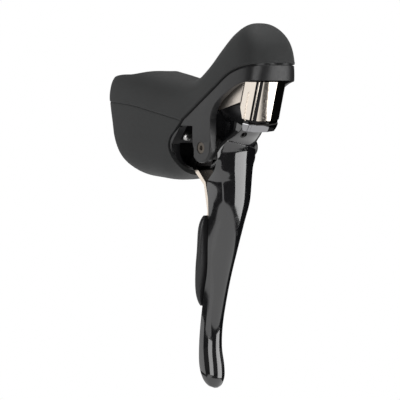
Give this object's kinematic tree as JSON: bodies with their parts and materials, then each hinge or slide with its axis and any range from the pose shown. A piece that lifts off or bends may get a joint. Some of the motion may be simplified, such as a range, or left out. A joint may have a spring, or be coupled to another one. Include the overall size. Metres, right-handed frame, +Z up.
{
  "type": "brake shift lever",
  "caption": "Left-hand brake and shift lever for a drop handlebar: rubber hood, bar clamp, chromed front cap, a blade that brakes and swings sideways to shift, and a release paddle.",
  "frame": {"origin": "centre of the handlebar bore at the middle of the clamp band", "axes": "+Z up along the handlebar's axis at the clamp, +X forward away from the rider, +Y to the rider's left, the lever's outer side"},
  "size_m": [0.1019, 0.0348, 0.1612],
  "materials": {
    "rubber": "fine matt grain",
    "bracket_black": "satin, glass-filled",
    "blade_black": "gloss black coating on forged aluminium",
    "paddle_black": "satin",
    "chrome_cap": "bright plated",
    "cast_aluminium": "black anodised",
    "black_cover": "gloss",
    "polymer": "acetal",
    "brass": "turned",
    "bronze": "sintered",
    "plated_steel": "nickel plated",
    "steel": "zinc plated"
  },
  "bodies": {
    "bracket": {"bracket_body": "bracket_black", "hood": "rubber", "clamp_band": "plated_steel", "clamp_nut": "brass", "clamp_bolt": "steel", "clamp_washer": "plated_steel", "brake_casing_seat": "polymer", "shift_casing_seat": "polymer", "guide_screw": "steel", "lever_axle": "steel", "axle_set_screw": "steel"},
    "lever_support": {"lever_support": "cast_aluminium", "pivot_bushes": "bronze", "return_spring": "steel", "shift_axle": "steel", "axle_nut": "steel", "axle_spacer": "plated_steel", "front_plate": "plated_steel", "front_cap": "chrome_cap", "cap_screws": "steel", "unit_cover": "black_cover", "stop_pawl": "plated_steel", "stop_pawl_pin": "steel", "rear_washer": "plated_steel", "rear_clip": "steel"},
    "winding_drum": {"cable_drum": "polymer", "ratchet_wheel": "plated_steel", "index_wheel": "plated_steel"},
    "cable_hook": {"cable_hook": "brass"},
    "brake_lever": {"lever_blade": "blade_black", "lever_hub": "cast_aluminium", "hub_bush": "polymer", "feed_pawl": "plated_steel", "feed_pawl_pin": "steel", "reach_screw": "steel"},
    "release_lever": {"release_plate": "plated_steel", "release_paddle": "paddle_black", "release_rivets": "steel", "release_bush": "polymer", "release_spring": "steel"}
  },
  "joints": [
    {"name": "brake_pull", "type": "hinge", "parent": "bracket", "child": "lever_support", "pos_m": [0.055, 0, -0.011], "axis": [0, 1, 0], "range_deg": [0, 22], "stiffness_Nm_per_rad": 0.25, "springref_deg": -20.05},
    {"name": "shift_swing", "type": "hinge", "parent": "lever_support", "child": "brake_lever", "pos_m": [0.072, 0, 0.0065], "axis": [-0.9703, 0, 0.2419], "range_deg": [0, 18], "stiffness_Nm_per_rad": 0.06, "springref_deg": -20.05},
    {"name": "release_swing", "type": "hinge", "parent": "brake_lever", "child": "release_lever", "pos_m": [0.072, 0, 0.0065], "axis": [-0.9703, 0, 0.2419], "range_deg": [0, 14], "stiffness_Nm_per_rad": 0.03, "springref_deg": -20.05},
    {"name": "drum_turn", "type": "hinge", "parent": "lever_support", "child": "winding_drum", "pos_m": [0.072, 0, 0.0065], "axis": [-0.9703, 0, 0.2419], "range_deg": [0, 36]},
    {"name": "hook_turn", "type": "hinge", "parent": "lever_support", "child": "cable_hook", "pos_m": [0.055, 0.0095, 0.006], "axis": [0, 1, 0], "range_deg": [-22, 0]}
  ],
  "couplings": [
    {"joint": "hook_turn", "follows": "brake_pull", "ratio": -0.9}
  ]
}
